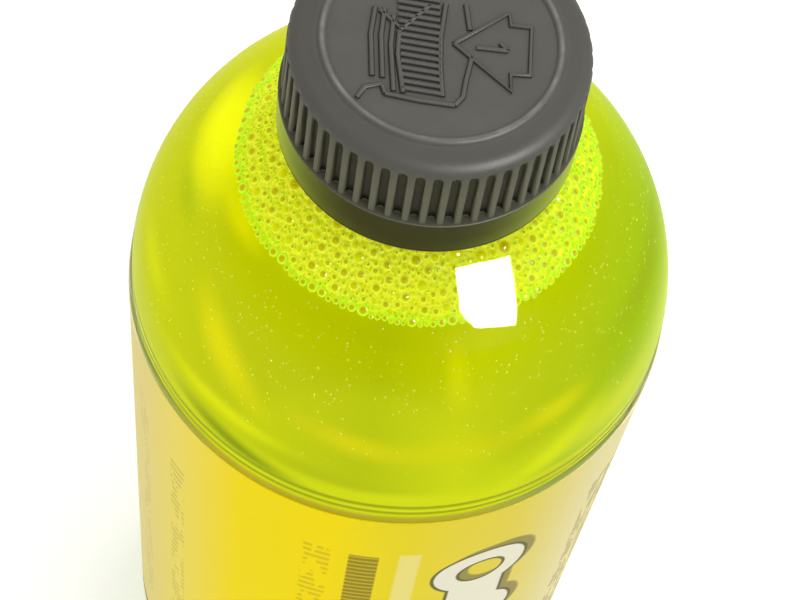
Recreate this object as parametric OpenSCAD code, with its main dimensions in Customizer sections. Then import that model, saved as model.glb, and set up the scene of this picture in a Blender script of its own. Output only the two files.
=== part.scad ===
// Round blown bottle of bicycle chain cleaner with a push-and-turn child-resistant cap.
// The bottle stands on its base ring at z = 0, and its axis is the Z axis. All sizes are in mm.
// Seven pieces: the bottle, its label, the cleaner and the foam on it, and a closure of three
// pieces. The outer cap is gripped and pressed down, the inner cap carries the thread, and the
// liner seals the lip. The bottle is drawn as two nodes that meet on the neck bead's top.

/* [Bottle body] */
// Widest diameter of the bottle, at the foot of the shoulder and above the base
body_d = 70.4; // [62:0.2:76]
// Height at which the straight side ends and the shoulder's arc starts
shoulder_z = 118; // [90:1:150]
// Radius of the shoulder's arc in section
shoulder_r = 34; // [32:0.1:38]
// Wall of the blown body
wall = 0.6; // [0.4:0.05:1]
// Radius of the heel between the side and the base
heel_r = 8; // [5:0.5:11]
// Width of the flat ring that the bottle stands on
ring_w = 2; // [1:0.1:4]
// Height of the push-up at the centre of the base
pushup_h = 5; // [3:0.5:9]
// Depth of each fine groove round the foot of the shoulder
foot_groove_depth = 0.25; // [0.1:0.05:0.35]
// Radius of those grooves in section
foot_groove_r = 0.5; // [0.4:0.05:0.7]
// Distance between the fine grooves, along the shoulder
foot_groove_pitch = 1.9; // [1.6:0.1:2.5]
// Number of fine grooves
foot_groove_count = 3; // [1:1:4]

/* [Label] */
// Depth of the label panel below the widest diameter
panel_depth = 0.4; // [0.3:0.05:0.8]
// Height of the panel's lower edge
panel_low_z = 14; // [12:0.5:24]
// Distance from the panel's upper edge to the start of the shoulder
panel_drop = 0.6; // [0.5:0.1:4]
// Height of the slope between the panel and the widest diameter
panel_step = 0.5; // [0.3:0.1:1]
// Thickness of the label film
label_t = 0.12; // [0.08:0.01:0.2]
// Gap between the label and each end of its panel
label_margin = 0.8; // [0.4:0.1:3]
// Width of the glued lap where the label's ends meet, at the back
label_lap = 9; // [5:0.5:15]

/* [Neck] */
// Height of the neck, from the end of the shoulder's fillet to the lip
neck_h = 12.3; // [12:0.1:16]
// Outer diameter of the thread
thread_d = 27.5; // [26.5:0.1:28.5]
// Height of the thread above the neck's wall
thread_depth = 1.25; // [0.9:0.05:1.4]
// Rise of the thread in one turn
thread_pitch = 4.23; // [3.9:0.01:4.6]
// Turns of thread on the neck
neck_thread_turns = 1.25; // [1:0.05:1.3]
// Distance from the lip to the middle of the thread's upper end
thread_drop = 2.4; // [2.2:0.1:2.8]
// Width of a thread at its foot
thread_foot_w = 2.3; // [1.9:0.1:2.5]
// Width of a thread at its crest
thread_crest_w = 1; // [0.7:0.1:1.2]
// Wall of the neck between its bore and its thread
neck_wall = 1.65; // [1.2:0.05:2]
// Radius of the fillet between the shoulder and the neck
neck_fillet_r = 1.6; // [1.2:0.1:2]
// How far the neck below its bead stands proud of the wall above it
neck_collar = 0.5; // [0.3:0.1:0.7]
// How far the neck bead stands proud of the collar
neck_bead_out = 0.9; // [0.5:0.1:1]
// Height of the neck bead
neck_bead_h = 1.2; // [0.8:0.1:1.6]

/* [Inner cap and liner] */
// Thickness of the liner
liner_t = 1; // [0.8:0.1:1.2]
// Wall of the inner cap's skirt
inner_wall = 1; // [0.8:0.05:1.2]
// Thickness of the inner cap's top
inner_top_t = 1.1; // [0.9:0.1:1.5]
// Length of the inner cap's skirt below its top
inner_skirt_h = 10; // [9.6:0.1:10.4]
// Turns of thread inside the inner cap
cap_thread_turns = 1.1; // [0.8:0.05:1.15]

/* [Drive lugs] */
// Number of lugs on each cap
lug_count = 12; // [8:1:12]
// Height of a lug
lug_h = 1.1; // [0.8:0.1:1.4]
// Length of a lug round the cap, at its foot
lug_w = 2.4; // [1.8:0.1:2.5]
// Length of the slope on the closing side of a lug
lug_slope = 1.5; // [0.8:0.1:1.6]
// Outer diameter of the ring of lugs
lug_d = 26.4; // [25:0.1:27.5]
// Length of a lug towards the axis
lug_l = 2.6; // [2:0.1:3]

/* [Outer cap] */
// Thickness of the outer cap's top
outer_top_t = 1.3; // [1:0.1:1.8]
// Wall of the outer cap behind the grip grooves
outer_wall = 1; // [0.7:0.05:1.2]
// Height of the grip ribs above the groove floor, at the band
rib_depth = 0.9; // [0.6:0.05:1.1]
// How much the ribs draw in from the band up to the rim
rib_draft = 0.25; // [0.1:0.05:0.4]
// Number of grip ribs
rib_count = 55; // [40:1:60]
// Radius of each grip groove in section
groove_r = 0.6; // [0.45:0.05:0.7]
// How far the plain band at the foot stands proud of the ribs
band_out = 0.3; // [0.2:0.05:0.6]
// Height of the plain band
band_h = 6.1; // [3:0.1:7]
// Size of the rounded lower edge of the band
band_edge_r = 0.8; // [0.4:0.1:1.2]
// Radius of the rounded rim between the ribs and the top
rim_r = 1.7; // [1:0.1:2.2]
// How much the top falls from the raised ring out to the rim
top_fall = 0.2; // [0.1:0.05:0.4]
// Diameter of the raised ring on the top, at its crest
top_ring_d = 26.2; // [24:0.1:27]
// Radius of the raised ring in section
top_ring_r = 0.5; // [0.3:0.05:0.6]
// Height of the raised ring above the top
top_ring_h = 0.4; // [0.2:0.05:0.5]
// Length of the outer cap below the end of the inner cap's skirt
outer_overlap = 1.8; // [1.4:0.1:2.2]
// How far the bead that holds the inner cap reaches in from the outer cap's wall
hold_bead_in = 0.6; // [0.4:0.05:0.7]
// Height of the bead that holds the inner cap
hold_bead_h = 0.7; // [0.5:0.05:0.9]

/* [Fill] */
// Distance from the lip down to the surface of the cleaner
headspace = 19.3; // [16:0.1:26]
// Height of the foam on the cleaner
foam_h = 5.8; // [3:0.1:6]

/* [Clearances] */
// Gap between the label film and its panel
label_gap = 0.05; // [0.03:0.01:0.1]
// Gap between what is inside the bottle and its wall
fill_gap = 0.1; // [0.05:0.01:0.2]
// Gap between the crest of each thread and the wall that it faces
thread_crest_gap = 0.2; // [0.15:0.05:0.35]
// Gap along the axis between the loaded sides of the two threads
thread_side_gap = 0.2; // [0.15:0.05:0.3]
// Gap round the liner
liner_gap = 0.3; // [0.2:0.05:0.5]
// Gap between the inner cap and the outer cap, all round
cap_gap = 0.25; // [0.15:0.05:0.35]
// Gap between the tips of the lugs at rest
lug_tip_gap = 0.2; // [0.1:0.05:0.3]
// Gap between the inner cap's skirt and the bead under it
hold_gap = 0.15; // [0.1:0.01:0.25]

/* [Hidden] */
$fn = 180;
// A cut reaches this far past the face that it goes through
past = 1;
// A thread's foot and a lug's foot are sunk this far into the wall that carries them
root_sink = 0.3;
// Size of the chamfer on the lip and on the edges of the inner cap
lip_edge = 0.35;
// How far the ribbed crown is let into the band below it
band_seat = 1;
// Steps along one turn of a thread
thread_steps = 36;
// Turn over which a thread rises to its full height, at each end
thread_fade = 40;

body_r = body_d / 2;
panel_r = body_r - panel_depth;
panel_high_z = shoulder_z - panel_drop;
shoulder_x = body_r - shoulder_r;
ring_out_r = body_r - heel_r;
ring_in_r = ring_out_r - ring_w;
pushup_r = (ring_in_r * ring_in_r + pushup_h * pushup_h) / (2 * pushup_h);
pushup_z = pushup_h - pushup_r;

thread_r = thread_d / 2;
neck_r = thread_r - thread_depth;
collar_r = neck_r + neck_collar;
bore_d = 2 * (neck_r - neck_wall);
bore_r = bore_d / 2;
neck_z = fillet_z(0, collar_r, neck_fillet_r);
lip_z = neck_z + neck_h;
neck_bead_z = neck_z + neck_bead_h / 2;
neck_foot_z = neck_bead_z + neck_bead_h;
thread_top_z = lip_z - thread_drop;
thread_low_z = thread_top_z - neck_thread_turns * thread_pitch;
fill_z = lip_z - headspace;

// Half the width of both threads together, where their loaded sides face each other
thread_mid_w = (thread_foot_w + thread_crest_w) / 2;
thread_offset = thread_mid_w + thread_side_gap;
inner_in_r = thread_r + thread_crest_gap;
inner_out_r = inner_in_r + inner_wall;
inner_under_z = lip_z + liner_t;
inner_top_z = inner_under_z + inner_top_t;
inner_low_z = inner_top_z - inner_top_t - inner_skirt_h;
cap_thread_low_z = inner_low_z + thread_foot_w / 2 + root_sink;
// The cap's thread lies one offset below the neck's, so this is the turn at which it starts
cap_thread_start = 360 * (cap_thread_low_z + thread_offset - thread_low_z) / thread_pitch;

outer_in_r = inner_out_r + cap_gap;
outer_under_z = inner_top_z + 2 * lug_h + lug_tip_gap;
outer_top_z = outer_under_z + outer_top_t;
outer_low_z = inner_low_z - outer_overlap;
groove_floor_r = outer_in_r + outer_wall;
rib_r = groove_floor_r + rib_depth;
band_r = rib_r + band_out;
band_z = outer_low_z + band_h;
lug_r = lug_d / 2;
top_ring_x = top_ring_d / 2;

// Points of an arc about c, from angle a0 to angle a1
function arc(c, r, a0, a1, n) =
    [for (i = [0:n]) let (a = a0 + (a1 - a0) * i / n) [c[0] + r * cos(a), c[1] + r * sin(a)]];

// The fillet of radius f between the shoulder, set in by d, and a neck of radius r
function fillet_z(d, r, f) =
    shoulder_z + sqrt(pow(shoulder_r - d + f, 2) - pow(r + f - shoulder_x, 2));
function fillet_angle(d, r, f) = atan2(fillet_z(d, r, f) - shoulder_z, r + f - shoulder_x);

// Outline of the base and the side, set in by d, from the axis up to the shoulder
function side_outline(d) = concat(
    arc([0, pushup_z], pushup_r + d, 90, asin((d - pushup_z) / (pushup_r + d)), 12),
    arc([body_r - heel_r, heel_r], heel_r - d, -90, 0, 8),
    [[body_r - d, panel_low_z - panel_step], [panel_r - d, panel_low_z],
     [panel_r - d, panel_high_z - panel_step], [body_r - d, panel_high_z]]);

// Outline of the shoulder, set in by d, up to the neck
function shoulder_outline(d, r, f) = concat(
    arc([shoulder_x, shoulder_z], shoulder_r - d, 0, fillet_angle(d, r, f), 24),
    arc([r + f, fillet_z(d, r, f)], f, 180 + fillet_angle(d, r, f), 180, 6));

function reversed(list) = [for (i = [len(list) - 1:-1:0]) list[i]];

// Outline of the shoulder, set in by d, up to a height that lies on its arc
function level_angle(d, z) = asin((z - shoulder_z) / (shoulder_r - d));
function level_outline(d, z0, z1) =
    arc([shoulder_x, shoulder_z], shoulder_r - d, level_angle(d, z0), level_angle(d, z1), 16);

// A right-hand thread about Z. Its foot is at foot_r and its crest at crest_r, and its middle
// rises from low_z. It starts at the angle start and fades out at both ends.
function thread_rise(a, turns) =
    min(1, a / thread_fade, (turns * 360 - a) / thread_fade);
module thread(foot_r, crest_r, low_z, start, turns) {
    sink_r = foot_r + sign(foot_r - crest_r) * root_sink;
    slope = (thread_foot_w - thread_crest_w) / (2 * abs(crest_r - foot_r));
    n = round(turns * thread_steps);
    points = [
        for (i = [0:n])
            let (
                a = turns * 360 * i / n,
                z = low_z + thread_pitch * a / 360,
                rise = max(0.02, thread_rise(a, turns)),
                tip_r = foot_r + (crest_r - foot_r) * rise,
                tip_w = thread_crest_w / 2 * rise,
                foot_w = tip_w + slope * abs(tip_r - sink_r)
            )
            for (p = [[sink_r, -foot_w], [tip_r, -tip_w], [tip_r, tip_w], [sink_r, foot_w]])
                [p[0] * cos(start + a), p[0] * sin(start + a), z + p[1]]
    ];
    inward = crest_r < foot_r;
    quads = concat(
        [for (i = [0:n - 1]) for (k = [0:3])
            [4 * i + k, 4 * i + (k + 1) % 4, 4 * i + 4 + (k + 1) % 4, 4 * i + 4 + k]],
        [[3, 2, 1, 0], [4 * n, 4 * n + 1, 4 * n + 2, 4 * n + 3]]);
    triangles = [for (q = quads) for (t = [[q[0], q[1], q[2]], [q[0], q[2], q[3]]])
        inward ? reversed(t) : t];
    polyhedron(points, triangles);
}

// A tube from z0 to z1
module tube(r_in, r_out, z0, z1) {
    rotate_extrude()
        translate([r_in, z0])
            square([r_out - r_in, z1 - z0]);
}

// One drive lug, pointing up from z = 0. The steep side takes the push, and it faces -Y.
module lug() {
    intersection() {
        tube(lug_r - lug_l, lug_r, -root_sink, lug_h);
        translate([lug_r - lug_l - past, 0, 0])
            rotate([90, 0, 90])
                linear_extrude(lug_l + 2 * past)
                    polygon([[-lug_w / 2, -root_sink], [lug_w / 2, -root_sink], [lug_w / 2, 0],
                             [lug_w / 2 - lug_slope, lug_h], [-lug_w / 2, lug_h]]);
    }
}

module lug_ring() {
    for (i = [0:lug_count - 1])
        rotate([0, 0, 360 / lug_count * i])
            lug();
}

// The blown shell: a pushed-up base, the label panel and the shoulder, up to the neck bead's top
module bottle() {
    bead_outside = [
        [collar_r, neck_bead_z], [collar_r + neck_bead_out, neck_bead_z + neck_bead_h / 4],
        [collar_r + neck_bead_out, neck_bead_z + neck_bead_h * 3 / 4],
        [collar_r, neck_foot_z], [bore_r, neck_foot_z]];
    color([0.86, 0.95, 0.55, 0.45])
        difference() {
            rotate_extrude()
                polygon(concat(
                    side_outline(0), shoulder_outline(0, collar_r, neck_fillet_r), bead_outside,
                    reversed(shoulder_outline(wall, bore_r, neck_fillet_r)),
                    reversed(side_outline(wall))));
            for (i = [0:foot_groove_count - 1])
                foot_groove(foot_groove_pitch * (i + 0.5));
        }
}

// A fine groove round the shoulder, at a distance s along its arc
module foot_groove(s) {
    a = s / shoulder_r * 180 / PI;
    r = shoulder_r + foot_groove_r - foot_groove_depth;
    rotate_extrude()
        translate([shoulder_x + r * cos(a), shoulder_z + r * sin(a)])
            circle(foot_groove_r);
}

// The moulded neck above the bead, with its thread and its lip
module bottle_neck() {
    color([0.86, 0.95, 0.55, 0.45]) {
        rotate_extrude()
            polygon([[bore_r, neck_foot_z], [neck_r, neck_foot_z], [neck_r, lip_z - lip_edge],
                     [neck_r - lip_edge, lip_z], [bore_r + lip_edge, lip_z],
                     [bore_r, lip_z - lip_edge]]);
        thread(neck_r, thread_r, thread_low_z, 0, neck_thread_turns);
    }
}

// The printed film, wrapped round the panel and glued to itself at the back
module label() {
    label_r = panel_r + label_gap;
    low_z = panel_low_z + label_margin;
    high_z = panel_high_z - panel_step - label_margin;
    lap_angle = label_lap / label_r * 180 / PI;
    color("gold") {
        tube(label_r, label_r + label_t, low_z, high_z);
        rotate([0, 0, 90 - lap_angle / 2])
            rotate_extrude(angle = lap_angle)
                translate([label_r + label_t / 2, low_z])
                    square([label_t * 1.5, high_z - low_z]);
    }
}

// The cleaner, from the floor of the bottle up to the fill line in the shoulder
module cleaner_fluid() {
    d = wall + fill_gap;
    color([0.76, 0.83, 0.03])
        rotate_extrude()
            polygon(concat(side_outline(d), level_outline(d, shoulder_z, fill_z), [[0, fill_z]]));
}

// The foam that fills the top of the shoulder, as one solid
module foam() {
    d = wall + fill_gap;
    color([0.92, 0.96, 0.18])
        rotate_extrude()
            polygon(concat([[0, fill_z]], level_outline(d, fill_z, fill_z + foam_h),
                           [[0, fill_z + foam_h]]));
}

// The foamed disc that seals the lip
module liner() {
    color("whitesmoke")
        translate([0, 0, lip_z])
            cylinder(r = inner_in_r - liner_gap, h = liner_t);
}

// The hidden threaded cap, with drive lugs on its top
module inner_cap() {
    color([0.9, 0.9, 0.88]) {
        rotate_extrude()
            polygon([[0, inner_under_z], [inner_in_r, inner_under_z],
                     [inner_in_r, inner_low_z + lip_edge], [inner_in_r + lip_edge, inner_low_z],
                     [inner_out_r, inner_low_z], [inner_out_r, inner_top_z - lip_edge],
                     [inner_out_r - lip_edge, inner_top_z], [0, inner_top_z]]);
        thread(inner_in_r, neck_r + thread_crest_gap, cap_thread_low_z, cap_thread_start,
               cap_thread_turns);
        translate([0, 0, inner_top_z])
            lug_ring();
    }
}

// Outline of the cap's ribbed crown, from the axis over the rim and back inside to the axis
function crown_outline() =
    let (
        rim_x = rib_r - rib_draft - rim_r,
        rim_z = outer_top_z - top_fall - rim_r,
        foot_z = band_z - band_seat
    )
    concat(
        [[0, outer_top_z], [top_ring_x + top_ring_r, outer_top_z]],
        arc([rim_x, rim_z], rim_r, 90, 0, 10),
        [[rib_r, band_z], [rib_r, foot_z], [outer_in_r, foot_z], [outer_in_r, outer_under_z],
         [0, outer_under_z]]);

// Outline of the plain band, with the bead inside it that holds the inner cap
function band_outline() =
    let (
        bead_r = outer_in_r - hold_bead_in,
        bead_z = inner_low_z - hold_gap
    )
    concat(
        [[outer_in_r, band_z], [band_r, band_z]],
        arc([band_r - band_edge_r, outer_low_z + band_edge_r], band_edge_r, 0, -90, 5),
        [[outer_in_r, outer_low_z], [bead_r, bead_z - hold_bead_h],
         [bead_r, bead_z - hold_bead_h / 3], [outer_in_r, bead_z]]);

// The gripped cap: ribbed sides, a plain band at the foot and a raised ring on the top
module outer_cap() {
    groove_x = groove_floor_r + groove_r;
    groove_z = band_z - band_seat - past;
    ring_z = outer_top_z + top_ring_h - top_ring_r;
    color([0.3, 0.3, 0.28]) {
        difference() {
            rotate_extrude()
                polygon(crown_outline());
            for (i = [0:rib_count - 1])
                rotate([0, 0, 360 / rib_count * (i + 0.5)])
                    translate([groove_x, 0, groove_z])
                        cylinder(r = groove_r, h = outer_top_z - groove_z + past);
        }
        rotate_extrude()
            polygon(band_outline());
        rotate_extrude()
            translate([top_ring_x, ring_z])
                circle(top_ring_r);
        translate([0, 0, outer_under_z])
            rotate([180, 0, 180 / lug_count])
                lug_ring();
    }
}

bottle();
bottle_neck();
label();
cleaner_fluid();
foam();
liner();
inner_cap();
outer_cap();
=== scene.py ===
import itertools
import math
import random
import bmesh
import bpy
from mathutils import Matrix, Vector


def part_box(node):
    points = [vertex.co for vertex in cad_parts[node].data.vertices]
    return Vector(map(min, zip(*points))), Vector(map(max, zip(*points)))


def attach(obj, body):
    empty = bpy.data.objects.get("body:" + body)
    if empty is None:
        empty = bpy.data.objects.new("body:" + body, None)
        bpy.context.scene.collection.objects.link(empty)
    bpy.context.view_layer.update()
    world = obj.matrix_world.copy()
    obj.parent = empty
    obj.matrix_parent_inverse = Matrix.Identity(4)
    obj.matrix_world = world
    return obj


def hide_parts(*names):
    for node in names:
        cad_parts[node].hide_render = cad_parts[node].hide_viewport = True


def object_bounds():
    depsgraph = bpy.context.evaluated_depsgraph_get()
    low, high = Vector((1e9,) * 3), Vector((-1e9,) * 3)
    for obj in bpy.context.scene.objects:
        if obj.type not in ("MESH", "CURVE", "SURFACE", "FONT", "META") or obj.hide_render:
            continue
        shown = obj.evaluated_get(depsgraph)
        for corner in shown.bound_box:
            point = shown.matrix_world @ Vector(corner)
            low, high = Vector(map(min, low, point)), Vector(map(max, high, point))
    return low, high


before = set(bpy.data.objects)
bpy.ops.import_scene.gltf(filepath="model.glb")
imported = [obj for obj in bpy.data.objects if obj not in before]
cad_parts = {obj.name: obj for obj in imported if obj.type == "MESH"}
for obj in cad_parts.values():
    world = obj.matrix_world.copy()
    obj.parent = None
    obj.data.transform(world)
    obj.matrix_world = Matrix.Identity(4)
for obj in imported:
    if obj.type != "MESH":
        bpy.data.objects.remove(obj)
cad_low, cad_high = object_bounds()
mm = 0.001

# The bottle: one shell of clear PET, blown from a preform whose neck keeps its thick moulded
# wall and thread. The shoulder is nearly a half ball, with fine grooves round its foot,
# and the base is pushed up so that the bottle stands on a ring.
body_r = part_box("bottle")[1].x
lip_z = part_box("bottle_neck")[1].z
wall = 0.6 * mm
heel_r = 8 * mm
ring_in_r = body_r - heel_r - 2 * mm
pushup_h = 5 * mm
panel_r = body_r - 0.4 * mm
panel_low_z, panel_high_z = 14 * mm, 117.4 * mm
panel_step = 0.5 * mm
shoulder_z = 118 * mm
shoulder_r = 34 * mm
shoulder_x = body_r - shoulder_r
groove_places = [1.92 * mm, 3.42 * mm]
groove_depth, groove_r = 0.25 * mm, 0.5 * mm
neck_fillet_r = 1.6 * mm
collar_r, neck_r, bore_r = 13 * mm, 12.5 * mm, 10.85 * mm
bead_r, bead_h = 13.9 * mm, 1.2 * mm
neck_h = 12.3 * mm
neck_z = lip_z - neck_h
thread_r = 13.75 * mm
thread_low_z, thread_pitch, thread_turns = 155.594 * mm, 4.23 * mm, 1.25
thread_foot_w, thread_crest_w = 2.3 * mm, 1 * mm
thread_fade = 40
lip_edge = 0.35 * mm


def begin(outline, radius, height):
    """Starts an outline in the plane of X and Z, and gives its first point."""
    return outline.verts.new((radius, 0, height))


def line(outline, start, radius, height, steps=1):
    """Carries an outline on in a straight line, and gives its new end."""
    move = (Vector((radius, 0, height)) - start.co) / steps
    for _ in range(steps):
        end = outline.verts.new(start.co + move)
        outline.edges.new((start, end))
        start = end
    return start


def arc(outline, start, centre, degrees, steps):
    """Carries an outline on round a centre, upwards from +X if degrees is positive."""
    made = bmesh.ops.spin(
        outline, geom=[start], cent=(centre[0], 0, centre[1]), axis=(0, -1, 0),
        angle=math.radians(degrees), steps=steps)
    return made["geom_last"][0]


def fillet_height(inset, radius):
    """Height of the neck fillet's upper end, on a shoulder set in by inset."""
    reach = shoulder_r - inset + neck_fillet_r
    return shoulder_z + math.sqrt(reach ** 2 - (radius + neck_fillet_r - shoulder_x) ** 2)


def fillet_degrees(inset, radius):
    """How far round the shoulder's arc the neck fillet starts."""
    rise = fillet_height(inset, radius) - shoulder_z
    return math.degrees(math.atan2(rise, radius + neck_fillet_r - shoulder_x))


def side(outline, inset):
    """Draws the base and the side, from the axis up to the shoulder."""
    dome_r = (ring_in_r ** 2 + pushup_h ** 2) / (2 * pushup_h)
    dome_z = pushup_h - dome_r
    sweep = math.degrees(math.acos((inset - dome_z) / (dome_r + inset)))
    end = begin(outline, 0, dome_z + dome_r + inset)
    end = arc(outline, end, (0, dome_z), -sweep, 14)
    end = line(outline, end, body_r - heel_r, inset)
    end = arc(outline, end, (body_r - heel_r, heel_r), 90, 12)
    end = line(outline, end, body_r - inset, panel_low_z - panel_step)
    end = line(outline, end, panel_r - inset, panel_low_z)
    end = line(outline, end, panel_r - inset, panel_high_z - panel_step, 6)
    end = line(outline, end, body_r - inset, panel_high_z)
    return line(outline, end, body_r - inset, shoulder_z)


def shoulder(outline, start, inset, radius, steps):
    """Draws the shoulder and the fillet under the neck."""
    turn = fillet_degrees(inset, radius)
    end = arc(outline, start, (shoulder_x, shoulder_z), turn, steps)
    centre = (radius + neck_fillet_r, fillet_height(inset, radius))
    return arc(outline, end, centre, -turn, 8)


def turned(outline, steps):
    """Spins an outline a full turn round Z, and closes its seam and its poles."""
    bmesh.ops.spin(
        outline, geom=outline.verts[:] + outline.edges[:], cent=(0, 0, 0), axis=(0, 0, 1),
        angle=2 * math.pi, steps=steps, use_merge=True)
    bmesh.ops.remove_doubles(outline, verts=outline.verts[:], dist=0.001 * mm)
    bmesh.ops.recalc_face_normals(outline, faces=outline.faces[:])
    return outline


def piece(name, shape, finish, body, crease=35):
    """Makes a shape an object with a finish, which moves with a body."""
    mesh = bpy.data.meshes.new(name)
    shape.to_mesh(mesh)
    shape.free()
    mesh.shade_smooth()
    mesh.set_sharp_from_angle(angle=math.radians(crease))
    mesh.materials.append(finish.material)
    made = bpy.data.objects.new(name, mesh)
    bpy.context.scene.collection.objects.link(made)
    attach(made, body)
    return made


def colour(code):
    """Blender's linear colour for the code that a picture shows for it."""
    parts = [int(code[i:i + 2], 16) / 255 for i in (1, 3, 5)]
    return tuple(p / 12.92 if p <= 0.04045 else ((p + 0.055) / 1.055) ** 2.4 for p in parts) + (1,)


class Value:
    """One output of a node. An expression on it adds Math nodes to its finish."""

    def __init__(self, finish, socket):
        self.finish, self.socket = finish, socket

    def math(self, operation, first, second):
        return self.finish.node("Math", {0: first, 1: second}, operation=operation)

    def __add__(self, other):
        return self.math("ADD", self, other)

    def __radd__(self, other):
        return self.math("ADD", other, self)

    def __sub__(self, other):
        return self.math("SUBTRACT", self, other)

    def __rsub__(self, other):
        return self.math("SUBTRACT", other, self)

    def __mul__(self, other):
        return self.math("MULTIPLY", self, other)

    def __rmul__(self, other):
        return self.math("MULTIPLY", other, self)

    def __truediv__(self, other):
        return self.math("DIVIDE", self, other)

    def __pow__(self, other):
        return self.math("POWER", self, other)

    def __abs__(self):
        return self.math("ABSOLUTE", self, 0)

    def rise(self, low, high):
        """0 up to low and 1 from high on, or 1 and 0 where low is the larger."""
        return self.finish.node(
            "MapRange", {"Value": self, "From Min": low, "From Max": high},
            interpolation_type="SMOOTHSTEP")

    def saw(self, pitch):
        """How far it is from the nearest whole number of pitches."""
        return abs(self.math("FRACT", self / pitch + 0.5, 0) - 0.5) * pitch


class Finish:
    """A material, or the world, round one shader. The method node adds any other node."""

    def __init__(self, name, kind="materials", shader="Principled BSDF", **constants):
        self.material = getattr(bpy.data, kind).new(name)
        self.material.use_nodes = True
        self.tree = self.material.node_tree
        self.shader = self.tree.nodes[shader]
        for socket, value in constants.items():
            self.feed(self.shader.inputs[socket.replace("_", " ")], value)

    def feed(self, socket, value):
        """Links a value to a socket, or sets the socket to a number or a colour."""
        if isinstance(value, Value):
            self.tree.links.new(value.socket, socket)
        else:
            socket.default_value = value

    def node(self, kind, inputs=(), output=0, stops=(), **settings):
        """Adds a node, makes its settings, feeds its sockets and gives one output."""
        made = self.tree.nodes.new("ShaderNode" + kind)
        for setting, value in settings.items():
            setattr(made, setting, value)
        if stops:
            points = made.color_ramp.elements
            while len(points) < len(stops):
                points.new(1)
            for point, (place, shade) in zip(points, stops):
                point.position, point.color = place, shade
        for socket, value in dict(inputs).items():
            self.feed(made.inputs[socket], value)
        return Value(self, made.outputs[output])

    def place(self):
        """The point on the piece, in metres."""
        return self.node("TexCoord", output="Object")

    def parts(self, vector):
        """The X, Y and Z of a vector."""
        split = self.node("SeparateXYZ", {0: vector}).socket.node
        return [Value(self, output) for output in split.outputs]

    def length(self, *parts):
        """How long the vector with these parts is."""
        vector = self.node("CombineXYZ", dict(enumerate(parts)))
        return self.node("VectorMath", {0: vector}, "Value", operation="LENGTH")

    def turn(self, x, y):
        """The turn round Z from the front, in degrees, positive towards +X."""
        return self.node("Math", {0: x, 1: 0 - y}, operation="ARCTAN2") * math.degrees(1)

    def spot(self, across, up, centre, size, lean):
        """1 at a centre, fading to 0 at the edge of an ellipse that leans by some degrees."""
        both = self.node("CombineXYZ", {0: across, 1: up})
        inside = self.node("Mapping", {
            0: both, 1: (*centre, 0), 2: (0, 0, math.radians(lean)), 3: (*size, 1)},
            vector_type="TEXTURE")
        return self.node("VectorMath", {0: inside}, "Value", operation="LENGTH").rise(1, 0)

    def noise(self, scale, detail=2, place=None):
        """Soft random values from 0 to 1, with about scale lumps in a metre."""
        return self.node("TexNoise", {
            "Vector": place or self.place(), "Scale": scale, "Detail": detail})

    def mix(self, share, first, second):
        """A colour between two colours."""
        return self.node("Mix", {0: share, 6: first, 7: second}, 2, data_type="RGBA")

    def bump(self, height, depth):
        """Feeds a bump of that depth to the shader."""
        self.feed(self.shader.inputs["Normal"], self.node("Bump", {
            "Height": height, "Distance": depth}))


clear_pet = Finish("clear_pet", Metallic=1, Roughness=0.02)
# the gloss that it has seen straight on and, on top of that, at a grazing angle
wall_gloss, wall_edge_gloss = 0.0095, 0.75
neck_gloss, neck_edge_gloss = 0.1, 0.6
facing = clear_pet.node("LayerWeight", {"Blend": 0.5}, "Facing")
gloss = wall_gloss + wall_edge_gloss * facing ** 10
in_neck = clear_pet.parts(clear_pet.place())[2].rise(neck_z, neck_z + 1 * mm)
gloss = gloss + in_neck * (neck_gloss + neck_edge_gloss * facing ** 2)
clear_pet.feed(clear_pet.shader.inputs["Base Color"], clear_pet.mix(
    in_neck, (1, 1, 1, 1), colour("#a9b59c")))
clear_pet.feed(clear_pet.shader.inputs["Alpha"], gloss * (1 - clear_pet.node(
    "NewGeometry", output="Backfacing")))
clear_pet.bump(clear_pet.noise(60, 1), 0.05 * mm)

outline = bmesh.new()
end = side(outline, 0)
end = shoulder(outline, end, 0, collar_r, 160)
for point in outline.verts:
    turn = math.atan2(point.co.z - shoulder_z, point.co.x - shoulder_x)
    along = turn * shoulder_r
    for place in groove_places:
        depth = math.sqrt(max(0, groove_r ** 2 - (along - place) ** 2)) - groove_r + groove_depth
        if depth > 0 and turn > 0:
            point.co -= Vector((math.cos(turn), 0, math.sin(turn))) * depth
neck_bead_z = end.co.z + bead_h / 2
end = line(outline, end, collar_r, neck_bead_z)
end = line(outline, end, bead_r, neck_bead_z + bead_h / 4)
end = line(outline, end, bead_r, neck_bead_z + bead_h * 3 / 4)
end = line(outline, end, collar_r, neck_bead_z + bead_h)
end = line(outline, end, neck_r, neck_bead_z + bead_h)
end = line(outline, end, neck_r, lip_z - lip_edge, 48)
end = line(outline, end, neck_r - lip_edge, lip_z)
end = line(outline, end, bore_r + lip_edge, lip_z)
end = line(outline, end, bore_r, lip_z - lip_edge)
inside = bmesh.new()
inner_end = shoulder(inside, side(inside, wall), wall, bore_r, 48)
line(inside, inner_end, bore_r, lip_z - lip_edge, 8)
inside_mesh = bpy.data.meshes.new("inside")
inside.to_mesh(inside_mesh)
inside.free()
outline.from_mesh(inside_mesh)
bpy.data.meshes.remove(inside_mesh)
bottle = turned(outline, 240)
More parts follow.
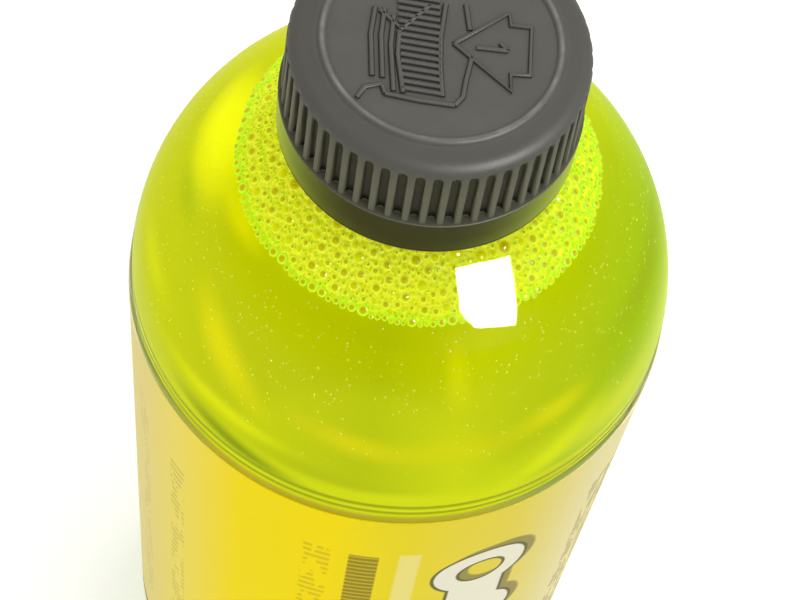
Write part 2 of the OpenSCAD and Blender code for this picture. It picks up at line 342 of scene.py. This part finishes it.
for point in bottle.verts:
    radius = math.hypot(point.co.x, point.co.y)
    if abs(radius - neck_r) < 0.01 * mm and point.co.z > neck_bead_z + bead_h + 0.1 * mm:
        turn = math.degrees(math.atan2(point.co.y, point.co.x)) % 360
        while turn <= thread_turns * 360:
            rise = min(1, turn / thread_fade, (thread_turns * 360 - turn) / thread_fade)
            off = abs(point.co.z - thread_low_z - thread_pitch * turn / 360)
            flank = (thread_foot_w / 2 - off) / ((thread_foot_w - thread_crest_w) / 2)
            share = 1 + (thread_r - neck_r) / neck_r * max(0, min(rise, flank))
            if share > 1:
                point.co.x, point.co.y = neck_r * share * math.cos(math.radians(turn)), \
                    neck_r * share * math.sin(math.radians(turn))
            turn += 360
shell = piece("bottle_shell", bottle, clear_pet, "bottle")
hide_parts("bottle", "bottle_neck")

# The cleaner: half a litre of fluorescent yellow-green liquid. It glows a little, and the light
# that the shoulder bends into it is painted into its colour and its glow: yellow on the left,
# green on the right, in soft bands that follow the shoulder, with painted dark and pale lines
# behind the grooves at its foot. Fine bubbles hang in it under the foam.
fluid_inset = wall + 0.1 * mm
fill_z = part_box("foam")[0].z
edge_step, edge_step_h, edge_step_drop = 0.45 * mm, 2 * mm, 2.5 * mm
brim_degrees = 2.2
# where painted dark lines of shade lie behind the grooves, along the shoulder's arc
groove_shade_lines = [0.4 * mm, 2 * mm]
# patches of painted light, and of painted shade where they are darker, from the light that the
# shoulder bends
painted_glow_spots = [
    # turn and tilt of the centre, half sizes, lean, share, colour
    (92, 11, 62, 17, 0, 0.85, "#cee04c"),
    (-90, 8, 54, 13, 0, 0.75, "#c6d052"),
    (84, 31, 34, 5.5, 0, 1, "#96ad00"),
    (-68, 22, 16, 5, 0, 0.9, "#dadd00"),
    (-76, 38, 15, 5, 0, 0.8, "#b3c400"),
    (-38, 28, 22, 6.5, -27, 1, "#e6de00"),
    (-2, 22.5, 22, 4.5, -8, 0.9, "#d4cd00"),
    (20, 22.5, 20, 5, 0, 0.9, "#d1ce00"),
    (42, 25, 15, 4.5, 8, 0.9, "#dad600"),
    (19.5, 40, 5, 12, 0, 0.85, "#d9db00"),
    (-34, 14.8, 24, 3.4, 0, 1, "#dfe300"),
    (42, 14, 26, 9, 15, 0.8, "#cdd800"),
    (41.5, 12.3, 20, 4.5, 25, 0.9, "#d9e400"),
    (5, 7.2, 44, 3.4, 0, 0.9, "#d3d800"),
    (-8, 11, 24, 3.2, -4, 0.9, "#b0ba00"),
    (-27, 6.4, 24, 3.8, -9, 1, "#7f9000"),
    (58, 12, 22, 8, 0, 0.9, "#d2da2c"),
    (-60, 49.5, 20, 4, 0, 0.8, "#f0ea00"),
    (-90, 47, 32, 11, 0, 1, "#fffc00"),
    (-92, 47, 27, 9, 0, 1, "#ffff00"),
]

cleaner = Finish(
    "cleaner", Roughness=0.3, IOR=1.04, Specular_IOR_Level=0, Transmission_Weight=0.3,
    Emission_Strength=0.27)
x, y, z = cleaner.parts(cleaner.place())
turn = cleaner.turn(x, y)
tilt = cleaner.node("Math", {
    0: z - shoulder_z, 1: cleaner.length(x, y) - shoulder_x},
    operation="ARCTAN2") * math.degrees(1)
# painted light across the shoulder, on the liquid's own yellow-green: yellower on the left,
# greener on the right
paint = cleaner.node("ValToRGB", {0: x / (2 * shoulder_r) + 0.5}, stops=[
    (0.1, colour("#c8ce00")), (0.35, colour("#bec600")), (0.5, colour("#b5bf00")),
    (0.66, colour("#c6cf00")), (0.8, colour("#b4c400")), (0.92, colour("#9cbb00"))])
along = tilt * (math.radians(1) * (shoulder_r - fluid_inset))
# a painted pale band of light along the foot of the shoulder
paint = cleaner.mix(abs(along - 0.6 * mm).rise(3.6 * mm, 2.6 * mm) * 0.9, paint, colour("#ccd400"))
# paints the patches of light and shade into the colour and the glow
for *place, spread, rise, lean, share, code in painted_glow_spots:
    paint = cleaner.mix(
        cleaner.spot(turn, tilt, place, (spread, rise), lean) * share, paint, colour(code))
# painted dark lines of shade behind the grooves
for place in groove_shade_lines:
    paint = cleaner.mix(
        abs(along - place).rise(0.55 * mm, 0.15 * mm) * 0.85, paint, colour("#919402"))
paint = cleaner.mix(along.rise(-1 * mm, -1.4 * mm), paint, cleaner.mix(
    abs(turn + 5).rise(25, 50), colour("#cfc414"), colour("#b6c455")))
cleaner.feed(cleaner.shader.inputs["Base Color"], paint)
# the painted light and shade feed the glow as well as the colour
cleaner.feed(cleaner.shader.inputs["Emission Color"], paint)


def level_degrees(inset, height):
    """How far round the shoulder's arc a level lies."""
    return math.degrees(math.asin((height - shoulder_z) / (shoulder_r - inset)))


outline = bmesh.new()
end = side(outline, fluid_inset)
end = arc(outline, end, (shoulder_x, shoulder_z),
          level_degrees(fluid_inset, fill_z - 0.5 * mm), 64)
for point in outline.verts:
    depth = (point.co.z - fill_z + edge_step_drop) / edge_step_h
    if depth > 0:
        away = Vector((point.co.x - shoulder_x, 0, point.co.z - shoulder_z)).normalized()
        point.co -= away * edge_step * depth ** 2 * (3 - 2 * depth)
brim = arc(outline, end, (shoulder_x, shoulder_z), brim_degrees, 4)
brim_z = brim.co.z
line(outline, brim, 0, brim_z, 4)
liquid = piece("cleaner_body", turned(outline, 240), cleaner, "bottle")
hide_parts("cleaner_fluid")

# The foam: bubbles that fill the top of the shoulder. Those against the wall show as rings of
# painted light, larger near the neck, and their lower edge is a single row.
foam_high_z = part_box("foam")[1].z
foam_inset = wall + 0.4 * mm
bubble_inset = wall + 0.06 * mm
row_radii = (0.36, 0.45, 0.55, 0.62, 0.75)
bubble_sizes = [
    # least and most radius, lowest place over the fill line, tries, room to the next
    (0.9, 1.3, 6.5, 160, 1.02), (0.62, 0.9, 1.4, 900, 0.98), (0.44, 0.62, 1, 3500, 0.95),
    (0.3, 0.44, 0.8, 7000, 0.93), (0.2, 0.3, 0.6, 7000, 0.92)]
speck_count, speck_least_r, speck_most_r = 1100, 0.06 * mm, 0.14 * mm
random.seed(4)

# the froth glows a little with painted light
foam_core = Finish("foam_core", Roughness=0.5, Specular_IOR_Level=0, Emission_Strength=0.2)
cells = foam_core.node("TexVoronoi", {
    "Vector": foam_core.place(), "Scale": 2200, "Smoothness": 0.3}, feature="SMOOTH_F1")
froth = foam_core.node("ValToRGB", {0: cells}, stops=[
    (0.05, colour("#cdd008")), (0.4, colour("#e2e91a")), (0.75, colour("#f1f63a"))])
foam_core.feed(foam_core.shader.inputs["Base Color"], froth)
foam_core.feed(foam_core.shader.inputs["Emission Color"], froth)
foam_core.bump(cells, 0.2 * mm)
outline = bmesh.new()
end = begin(outline, 0, brim_z)
start_turn = level_degrees(foam_inset, brim_z)
foot = shoulder_x + (shoulder_r - foam_inset) * math.cos(math.radians(start_turn))
end = line(outline, end, foot, brim_z, 6)
end = arc(outline, end, (shoulder_x, shoulder_z),
          level_degrees(foam_inset, foam_high_z - 0.3 * mm) - start_turn, 20)
line(outline, end, 0, foam_high_z - 0.3 * mm, 6)
core = piece("foam_core", turned(outline, 160), foam_core, "bottle")
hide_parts("foam")

bubble_film = Finish(
    "bubble_film", Roughness=0.08, IOR=1.34, Specular_IOR_Level=0.15, Emission_Strength=0.2)
ring = bubble_film.node("Attribute", output="Fac", attribute_name="ring")
tone = bubble_film.node("Attribute", output="Fac", attribute_name="tone")
across, _, height = bubble_film.parts(bubble_film.place())
# painted light on each bubble: a painted highlight in the middle, a darker inside and a bright rim
film = bubble_film.node("ValToRGB", {0: ring}, stops=[
    (0.0, colour("#f0ea58")), (0.12, colour("#b8ae00")), (0.36, colour("#c4c000")),
    (0.58, colour("#d5d900")), (0.72, colour("#f4f85c")), (0.88, colour("#e2f010")),
    (0.98, colour("#bfe800"))])
# the painted bright rim without the highlight, for some of the bubbles
plain_film = bubble_film.node("ValToRGB", {0: ring}, stops=[
    (0.0, colour("#dde000")), (0.6, colour("#d6dc00")), (0.8, colour("#f2f750")),
    (0.97, colour("#cde600"))])
film = bubble_film.mix(tone.rise(0.35, 0.4), plain_film, film)
# a painted lime reflection on the rims along the foam's lower edge and on the right
rim = ring.rise(0.5, 0.95) * (fill_z + 0.9 * mm - height).rise(-0.4 * mm, 0.6 * mm)
rim = bubble_film.node("Math", {
    0: rim, 1: across.rise(11 * mm, 21 * mm) * ring.rise(0.3, 0.9)}, operation="MAXIMUM")
film = bubble_film.mix(rim * 0.8, film, colour("#b9fb14"))
bubble_film.feed(bubble_film.shader.inputs["Base Color"], film)
# the painted light feeds the glow as well as the colour
bubble_film.feed(bubble_film.shader.inputs["Emission Color"], film)


def stand(turn, along, radius, squash):
    """Where a bubble stands that touches the wall, along the shoulder's arc and round the axis."""
    tilt = along / shoulder_r
    out = Vector((math.cos(tilt), 0, math.sin(tilt)))
    reach = shoulder_r - bubble_inset - radius * squash
    place = Vector((shoulder_x, 0, shoulder_z)) + out * reach
    facing = out.to_track_quat("Z", "Y").to_matrix().to_4x4()
    size = Matrix.Diagonal((radius, radius, radius * squash, 1))
    return Matrix.Rotation(turn, 4, "Z") @ Matrix.Translation(place) @ facing @ size


def near(cells, place):
    """The bubbles in the cells round a place."""
    home = [round(part / cell) for part in place]
    for step in itertools.product((-1, 0, 1), repeat=3):
        yield from cells.get(tuple(h + s for h, s in zip(home, step)), ())


edge_along = math.radians(level_degrees(fluid_inset, fill_z)) * shoulder_r
neck_along = math.radians(level_degrees(fluid_inset, foam_high_z)) * shoulder_r
cell = 2.6 * mm
cells = {}
placed = []


def add(turn, along, radius, squash):
    """Puts a bubble down."""
    where = stand(turn, along, radius, squash)
    placed.append(where)
    home = tuple(round(part / cell) for part in where.translation)
    cells.setdefault(home, []).append((where.translation.copy(), radius))


turn = 0
while turn < 2 * math.pi - 0.03:
    radius = random.choice(row_radii) * random.uniform(0.9, 1.1) * mm
    girth = shoulder_x + shoulder_r * math.cos(edge_along / shoulder_r)
    add(turn + radius / girth, edge_along + radius - random.uniform(0, 0.25) * mm, radius, 0.45)
    turn += 2 * radius / girth
for least, most, start, tries, room in bubble_sizes:
    for _ in range(tries):
        radius = random.uniform(least, most) * mm
        turn = random.uniform(0, 2 * math.pi)
        along = random.uniform(edge_along + start * mm, neck_along)
        place = stand(turn, along, radius, 0.8).translation
        if all((place - other).length > (radius + other_radius) * room
               for other, other_radius in near(cells, place)):
            add(turn, along, radius, 0.8)
ball = bmesh.new()
bmesh.ops.create_uvsphere(ball, u_segments=10, v_segments=5, radius=1)
ring_layer = ball.verts.layers.float.new("ring")
ball.verts.layers.float.new("tone")
for point in ball.verts:
    point[ring_layer] = math.hypot(point.co.x, point.co.y) if point.co.z > -0.4 else 1


def bubbles(name, places, finish):
    """Makes one piece of bubbles, each with its own tone."""
    every = bmesh.new()
    for where in places:
        share = random.random()
        one = bpy.data.meshes.new("bubble")
        ball.to_mesh(one)
        one.transform(where)
        one.attributes["tone"].data.foreach_set("value", [share] * len(one.vertices))
        every.from_mesh(one)
        bpy.data.meshes.remove(one)
    return piece(name, every, finish, "bottle", 180)


bubbles("foam_bubbles", placed, bubble_film)
# the fine bubbles glow a little with painted light
speck_film = Finish(
    "speck_film", Base_Color=colour("#dee34a"), Roughness=0.2, Specular_IOR_Level=0.1,
    Emission_Strength=0.1, Emission_Color=colour("#dee34a"))
specks = []
for _ in range(speck_count):
    radius = random.uniform(speck_least_r, speck_most_r)
    specks.append(stand(random.uniform(0, 2 * math.pi),
                        random.triangular(6 * mm, edge_along, edge_along - 5 * mm), radius, 0.25))
bubbles("fine_bubbles", specks, speck_film)
ball.free()

# The label: a yellow printed film, wrapped round the panel and glued to itself in a lap at the
# back. Its print is plain shapes: bands, a row of chain links and bars where the text would be.
label_low, label_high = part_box("label")
label_r = panel_r + 0.05 * mm
label_t = 0.12 * mm
lap_w = 9 * mm
link_turn, link_r, link_hole_r, link_bar, link_pitch = 30.5, 7 * mm, 3 * mm, 4.4 * mm, 17 * mm
link_top_z, link_bar_z, link_bar_half = 95.5 * mm, 61.5 * mm, 34 * mm
link_edge, link_shade = 0.5 * mm, 1.1 * mm

label_film = Finish(
    "label_film", Roughness=0.4, IOR=1.4, Specular_IOR_Level=0.01, Coat_Weight=0.03,
    Coat_Roughness=0.15)
x, y, height = label_film.parts(label_film.place())
turn = label_film.turn(x, y)
# the film's yellow, with a painted pale sheen towards the left and right sides where the film
# turns away
print_and_sheen = label_film.node("ValToRGB", {0: turn / 360 + 0.5}, stops=[
    (0.1, colour("#f4de30")), (0.24, colour("#e4d796")), (0.34, colour("#ecda80")),
    (0.38, colour("#f5e264")), (0.43, colour("#fde40c")), (0.49, colour("#ffe400")),
    (0.53, colour("#f1dd24")), (0.6, colour("#ead850")), (0.66, colour("#ebe0a0")),
    (0.74, colour("#eee0a0")), (0.9, colour("#f4de30"))])


def within(value, low, high, blur=0.1):
    """1 between two values, with edges of some width."""
    return value.rise(low - blur, low + blur) * value.rise(high + blur, high - blur)


def chain(away):
    """The chain's plates, with their outline and their holes, moved to one side."""
    sideways = (turn - link_turn) * (math.radians(1) * label_r) - away
    along = (height - link_top_z - away).saw(link_pitch)
    reach = label_film.length(sideways, along)
    bar = label_film.node("Math", {
        0: abs(sideways) - link_bar, 1: abs(height - link_bar_z - away) - link_bar_half},
        operation="MAXIMUM")
    inside = label_film.node("Math", {
        0: reach - link_r, 1: bar}, operation="MINIMUM")
    return label_film.node("Math", {0: inside, 1: link_hole_r - reach}, operation="MAXIMUM")


def block(low, high, floor, ceiling):
    """A block between two turns and two heights."""
    return within(turn, low, high, 0.25) * within(height, floor * mm, ceiling * mm, 0.2 * mm)


marks = label_film.noise(900, 1, label_film.node("VectorMath", {
    0: label_film.place(), 1: (1, 1, 0.2)}, operation="MULTIPLY"))
bars = height.saw(1.7 * mm).rise(0.35 * mm, 0.5 * mm) * marks.rise(0.46, 0.5)
shapes = [
    (block(0.4, 6.8, 32, 104.5) * (0.55 + 0.45 * height.saw(1.3 * mm).rise(0.15 * mm, 0.3 * mm)),
     "#84752a", 0.85),
    (block(-9.5, -3.5, 40, 105) * bars, "#b09a20", 0.4),
    (block(11, 15.6, 24, 105.5), "#f4e88c", 0.85),
    (block(-46, -41, 30, 100) * bars, "#a8954a", 0.4),
    (block(-62, -57, 30, 104) * bars, "#b3a367", 0.35),
    (block(60, 104, 24, 100) * bars, "#857436", 0.8),
    (block(-104, -72, 24, 66) * bars, "#857436", 0.8),
    (block(-104, -72, 74, 100) * height.saw(9 * mm).rise(2 * mm, 2.4 * mm), "#f7efb6", 0.9),
    (chain(link_shade).rise(0.3 * mm, -0.3 * mm) * block(10, 52, 19, 103.5), "#8f8550", 0.85),
    (chain(0).rise(0.15 * mm, -0.15 * mm) * block(10, 52, 19, 103.5), "#6f683c", 1),
    (chain(0).rise(-link_edge + 0.15 * mm, -link_edge - 0.15 * mm) * block(10, 52, 19, 103.5),
     "#f3efd6", 1),
    (block(-180, 180, 15.8, 18.4), "#6b6a2c", 0.9),
]
for shape, code, share in shapes:
    print_and_sheen = label_film.mix(shape * share, print_and_sheen, colour(code))
label_film.feed(label_film.shader.inputs["Base Color"], print_and_sheen)
label_film.bump(label_film.noise(70, 2), 0.08 * mm)


def film_section(inner, outer):
    """The cut through one layer of the label."""
    cut = bmesh.new()
    end = begin(cut, inner, label_low.z)
    end = line(cut, end, outer, label_low.z)
    end = line(cut, end, outer, label_high.z, 24)
    line(cut, line(cut, end, inner, label_high.z), inner, label_low.z, 24)
    return cut


film = piece("label_film", turned(film_section(label_r, label_r + label_t), 240), label_film,
             "bottle")
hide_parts("label")
lap = film_section(label_r + label_t, label_high.y)
lap_degrees = math.degrees(lap_w / label_r)
bmesh.ops.rotate(lap, verts=lap.verts[:], cent=(0, 0, 0),
                 matrix=Matrix.Rotation(math.radians(90 - lap_degrees / 2), 3, "Z"))
bmesh.ops.spin(lap, geom=lap.verts[:] + lap.edges[:], cent=(0, 0, 0), axis=(0, 0, 1),
               angle=math.radians(lap_degrees), steps=12)
bmesh.ops.remove_doubles(lap, verts=lap.verts[:], dist=0.001 * mm)
bmesh.ops.holes_fill(lap, edges=lap.edges[:])
bmesh.ops.recalc_face_normals(lap, faces=lap.faces[:])
piece("label_lap", lap, label_film, "bottle")

# The liner and the inner cap are hidden: a foamed disc that seals the lip, and a threaded cap
# of natural polypropylene with one-way lugs on its top, which the outer cap drives.
liner_foam = Finish("liner_foam", Base_Color=colour("#e9e8e2"), Roughness=0.75)
liner_foam.bump(liner_foam.noise(2500, 2), 0.05 * mm)
natural_pp = Finish(
    "natural_pp", Base_Color=colour("#dcdcd4"), Roughness=0.42, Subsurface_Weight=0.15,
    Subsurface_Radius=(0.002, 0.002, 0.0018))
natural_pp.bump(natural_pp.noise(900, 3), 0.01 * mm)
for node, finish in (("liner", liner_foam), ("inner_cap", natural_pp)):
    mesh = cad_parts[node].data
    mesh.materials.clear()
    mesh.materials.append(finish.material)

# The outer cap: a gripped cap of dark grey polypropylene with a fine spark texture, ribbed down
# to a plain band. It snaps over the inner cap by a bead inside its foot.
cap_low, cap_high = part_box("outer_cap")
top_ring_h = 0.4 * mm
cap_top_z = cap_high.z - top_ring_h
top_under_z = cap_top_z - 1.3 * mm
top_fall = 0.2 * mm
rim_r = 1.7 * mm
cap_inner_r = 15.2 * mm
groove_floor_r = 16.2 * mm
grip_groove_r = 0.6 * mm
groove_flare_start, groove_flare = 0.85, 8
groove_end_h, groove_end_slope = 2.7 * mm, 0.6
edge_blend, rim_blend, rim_blend_h = 0.12 * mm, 0.3, 3.2 * mm
rib_r = 17.1 * mm
rib_draft = 0.25 * mm
rib_count = 55
steps_per_rib = 14
band_r, band_h, band_edge_r = cap_high.x, 6.1 * mm, 0.8 * mm
band_z = cap_low.z + band_h
top_ring_x, top_ring_r = 13.1 * mm, 0.5 * mm
hold_bead_in, hold_bead_h = 0.6 * mm, 0.7 * mm
hold_bead_z = cap_low.z + 1.65 * mm

cap_plastic = Finish("cap_plastic", IOR=1.49, Specular_IOR_Level=0.08)
grain = cap_plastic.noise(5200, 2)
patches = cap_plastic.noise(260, 3)
x, y, height = cap_plastic.parts(cap_plastic.place())
radius = cap_plastic.length(x, y)
paint = cap_plastic.mix(patches * 0.5 + grain * 0.4, colour("#5a5954"), colour("#6b6a63"))
above = height - cap_top_z
# a painted highlight along the crest of the top ring, broken up by noise
crest_highlight = abs(radius - top_ring_x).rise(0.35 * mm, 0.05 * mm) * above.rise(0.1 * mm, 0.35 * mm)
paint = cap_plastic.mix(radius.rise(13.4 * mm, 14.4 * mm) * 0.7, paint, colour("#57564f"))
paint = cap_plastic.mix(
    crest_highlight * (0.35 + 0.65 * cap_plastic.noise(300, 3).rise(0.4, 0.7)), paint, colour("#8d8a81"))
# painted shade on the low sides of the sign's raised lines
stroke = above.rise(0.01 * mm, 0.05 * mm) * above.rise(0.3 * mm, 0.2 * mm) * radius.rise(
    top_ring_x - 0.6 * mm, top_ring_x - 0.8 * mm)
paint = cap_plastic.mix(stroke * 0.9, paint, colour("#34322d"))
below = (cap_top_z - 1.2 * mm - height).rise(0, 1.6 * mm)
paint = cap_plastic.mix(below, paint, colour("#666553"))
# painted shade in the grip grooves, darkest at their lower ends by the band
groove_shade = radius.rise(rib_r - 0.1 * mm, rib_r - 0.5 * mm)
near_foot = (height - band_z - 0.25 * mm).rise(0, 0.15 * mm)
paint = cap_plastic.mix(groove_shade * below * near_foot, paint, cap_plastic.mix(
    (height - band_z).rise(1.8 * mm, 0.4 * mm), colour("#3e3c2c"), colour("#1b180f")))
# the band's colour is a painted reflection of the foam: dark olive facing on, lime at a grazing
# angle
paint = cap_plastic.mix(
    (band_z - 0.05 * mm - height).rise(0, 0.1 * mm), paint, cap_plastic.mix(
        cap_plastic.node("LayerWeight", {"Blend": 0.5}, "Facing").rise(0.5, 0.97),
        colour("#36340f"), colour("#aabb3c")))
paint = cap_plastic.mix(
    (cap_low.z + 1.1 * mm - height).rise(0, 0.3 * mm), paint, colour("#352b28"))
cap_plastic.feed(cap_plastic.shader.inputs["Base Color"], paint)
cap_plastic.feed(cap_plastic.shader.inputs["Roughness"], patches * 0.1 + 0.46)
cap_plastic.bump(grain, 0.02 * mm)

outline = bmesh.new()
ring_z = cap_high.z - top_ring_r
ring_turn = math.degrees(math.acos((cap_top_z - ring_z) / top_ring_r))
ring_half = top_ring_r * math.sin(math.radians(ring_turn))
end = begin(outline, 0, cap_top_z)
end = line(outline, end, top_ring_x - ring_half, cap_top_z, 4)
end = arc(outline, end, (top_ring_x, ring_z), -2 * ring_turn, 10)
end = line(outline, end, rib_r - rib_draft - rim_r, cap_top_z - top_fall, 2)
end = arc(outline, end, (end.co.x, end.co.z - rim_r), -90, 14)
end = line(outline, end, rib_r, band_z + 0.01 * mm, 10)
end = line(outline, end, band_r - 0.1 * mm, band_z)
end = line(outline, end, band_r, band_z - 0.1 * mm)
end = line(outline, end, band_r, cap_low.z + band_edge_r, 2)
end = arc(outline, end, (band_r - band_edge_r, cap_low.z + band_edge_r), -90, 8)
end = line(outline, end, cap_inner_r, cap_low.z)
end = line(outline, end, cap_inner_r - hold_bead_in, hold_bead_z - hold_bead_h)
end = line(outline, end, cap_inner_r - hold_bead_in, hold_bead_z - hold_bead_h / 3)
end = line(outline, end, cap_inner_r, hold_bead_z)
end = line(outline, end, cap_inner_r, top_under_z)
line(outline, end, 0, top_under_z)
crown = turned(outline, rib_count * steps_per_rib)
groove_x = groove_floor_r + grip_groove_r
for point in crown.verts:
    radius = math.hypot(point.co.x, point.co.y)
    if point.co.z > band_z + 0.005 * mm and radius > cap_inner_r + 0.2 * mm:
        turn = math.atan2(point.co.y, point.co.x)
        pitch = 2 * math.pi / rib_count
        off = abs((turn / pitch) % 1 - 0.5) * pitch * groove_x
        depth = math.sqrt(max(0, grip_groove_r ** 2 - off ** 2))
        wall_r = groove_x - depth
        wall_r += max(0, off - groove_flare_start * grip_groove_r) * groove_flare
        wall_r += max(0, point.co.z - cap_top_z + groove_end_h) * groove_end_slope
        blend = edge_blend + rim_blend * max(0, point.co.z - cap_top_z + rim_blend_h)
        share = max(0, min(1, 0.5 + (wall_r - radius) / (2 * blend)))
        target = wall_r + (radius - wall_r) * share - blend * share * (1 - share)
        point.co.x *= target / radius
        point.co.y *= target / radius
cap = piece("grip_cap", crown, cap_plastic, "outer_cap")
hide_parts("outer_cap")

# The sign on the cap: how to open it, in raised lines, pressed from the same mould. A cap seen
# from the side, an arrow that pushes it down and an arrow that turns it.
sign_scale = 1.03
sign_line_r = 0.34 * mm
strokes = [
    [(-7.6, 2.5), (-7.5, -1), (-6.5, -6.2)],
    [(-6.6, 2.5), (-6.4, -1), (-5.4, -6.2)],
    [(-5.5, 1.8), (-5.2, -2), (-4.0, -7.6)],
    [(-4.8, -8.1), (-1.2, -8.2), (2.5, -8.0)],
    [(-7.6, -9.2), (-7.0, -7.7), (-5.4, -7.0), (-4.8, -8.1)],
    [(2.5, -8.0), (3.2, -6.8), (3.2, -4.8), (3.4, -1.6)],
    [(2.7, 1.7), (1.8, 4.9)],
    [(-4.6, 0), (-4.3, -3), (-3.0, -7.6)],
    [(-0.3, 4.5), (-0.2, 0), (0.4, -4), (1.1, -7.2)],
    [(-7, 2.2), (-4.4, 0.3), (-1.9, 4)],
    [(1.3, -0.3), (6.5, 4.8), (6.9, 3.3), (9.1, 3.5), (9.7, -2.6), (7.7, -2.9), (8.0, -5.0),
     (1.3, -0.3)],
    [(3.7, -0.3), (7.0, 0)],
    [(7.0, 0), (6.1, 0.8)],
]
for bar in range(15):
    height = -7.0 + 0.83 * bar
    left = -3.2 - 0.2 * (height + 7)
    right = 0.9 - 0.16 * (height + 7)
    strokes.append([(left, height), (right, height + 0.1)])
drawing = bpy.data.curves.new("cap_sign", "CURVE")
drawing.dimensions = "3D"
drawing.bevel_depth = sign_line_r
drawing.bevel_resolution = 3
drawing.use_fill_caps = True
for stroke in strokes:
    spline = drawing.splines.new("POLY")
    spline.points.add(len(stroke) - 1)
    for point, (x, y) in zip(spline.points, stroke):
        point.co = (x * sign_scale * mm, y * sign_scale * mm, cap_top_z, 1)
drawn = bpy.data.objects.new("drawn", drawing)
bpy.context.scene.collection.objects.link(drawn)
sign = bmesh.new()
sign.from_mesh(drawn.to_mesh())
bpy.data.objects.remove(drawn)
piece("cap_sign", sign, cap_plastic, "outer_cap", 50)

# The studio: a pale floor, a white surround that is dim overhead in reflections, one large soft
# light above and behind on the right, and a window in front on the right, which shows only as
# a reflection.
scene = bpy.context.scene
scene.view_settings.view_transform = "Standard"
scene.cycles.max_bounces = 16
scene.cycles.transmission_bounces = 12
scene.cycles.transparent_max_bounces = 24
plain_light, zenith, overhead = 1.2, 0.62, 0.04
window_light, floor_half = 138, 3
surround = Finish("surround", "worlds", "Background", Color=(1, 1, 1, 1))
scene.world = surround.material
straight = surround.node("LightPath", output="Is Camera Ray") + surround.node(
    "LightPath", output="Is Transmission Ray")
glossy = surround.node("LightPath", output="Is Glossy Ray")
upwards = surround.parts(surround.node("TexCoord", output="Generated"))[2]
plain = plain_light - upwards.rise(0.1, 0.9) * (plain_light - zenith)
mirrored = 1 - upwards.rise(0, 0.4) * (1 - overhead)
surround.feed(surround.shader.inputs["Strength"], (
    plain + straight * (1 - plain) + glossy * (mirrored - plain)))

soft_light = bpy.data.lights.new("soft_light", "AREA")
soft_light.size, soft_light.energy = 0.5, 2.6
lamp = bpy.data.objects.new("soft_light", soft_light)
scene.collection.objects.link(lamp)
lamp.location = (0.35, 0.55, 0.85)
lamp.rotation_euler = (Vector((0, 0, 0.12)) - lamp.location).to_track_quat("-Z", "Y").to_euler()


def backdrop(name, shape, finish):
    """Adds a piece of the studio."""
    mesh = bpy.data.meshes.new(name)
    shape.to_mesh(mesh)
    shape.free()
    mesh.materials.append(finish.material)
    made = bpy.data.objects.new(name, mesh)
    scene.collection.objects.link(made)
    return made


daylight = Finish(
    "daylight", Base_Color=(0, 0, 0, 1), Emission_Color=(1, 1, 1, 1),
    Emission_Strength=window_light)
panes = [
    [(112.4, -120.7, 408.3), (207.8, -54, 371.4), (245.4, -157.3, 275.7), (171.7, -206.9, 314.7),
     (139.7, -195, 350.1)],
    [(244, 100, 308), (248, 105, 302), (252, 100, 304), (248, 96, 310)],
]
for number, corners in enumerate(panes):
    pane = bmesh.new()
    points = [pane.verts.new(Vector(corner) * mm) for corner in corners]
    bmesh.ops.contextual_create(pane, geom=points)
    window = backdrop("window_" + str(number), pane, daylight)
    window.visible_camera = False
    window.visible_diffuse = False
    window.visible_transmission = False
    window.visible_shadow = False

floor_paint = Finish(
    "floor_paint", Base_Color=(0.9, 0.9, 0.9, 1), Roughness=0.8, Emission_Strength=0.3)
shown = floor_paint.node("LightPath", output="Is Camera Ray") + floor_paint.node(
    "LightPath", output="Is Glossy Ray") + floor_paint.node(
    "LightPath", output="Is Transmission Ray")
floor_paint.feed(floor_paint.shader.inputs["Emission Color"], floor_paint.mix(
    shown, (0, 0, 0, 1), (1, 1, 1, 1)))
ground = bmesh.new()
bmesh.ops.create_grid(ground, x_segments=1, y_segments=1, size=floor_half)
backdrop("floor", ground, floor_paint)

# The camera: over the front of the bottle, looking steeply down on its cap, rolled to the left.
pitch, yaw, roll = 1.071999, 0.005792, -0.188242
focal_px, picture_px, sensor_mm = 2114, 800, 36
eye_before, eye_above = 134.72 * mm, 187.13 * mm
eye = Vector((0, -eye_before, cad_high.z + eye_above))
ahead = Vector((
    math.sin(yaw) * math.cos(pitch), math.cos(yaw) * math.cos(pitch), -math.sin(pitch)))
across = Vector((math.cos(yaw), -math.sin(yaw), 0))
down = ahead.cross(across)
rolled = across * math.cos(roll) + down * math.sin(roll)
rolled_down = down * math.cos(roll) - across * math.sin(roll)
lens = bpy.data.cameras.new("camera")
lens.sensor_width = sensor_mm
lens.lens = focal_px / picture_px * sensor_mm
camera = bpy.data.objects.new("camera", lens)
scene.collection.objects.link(camera)
camera.matrix_world = Matrix.Translation(eye) @ Matrix(
    (rolled, -rolled_down, -ahead)).transposed().to_4x4()
scene.camera = camera
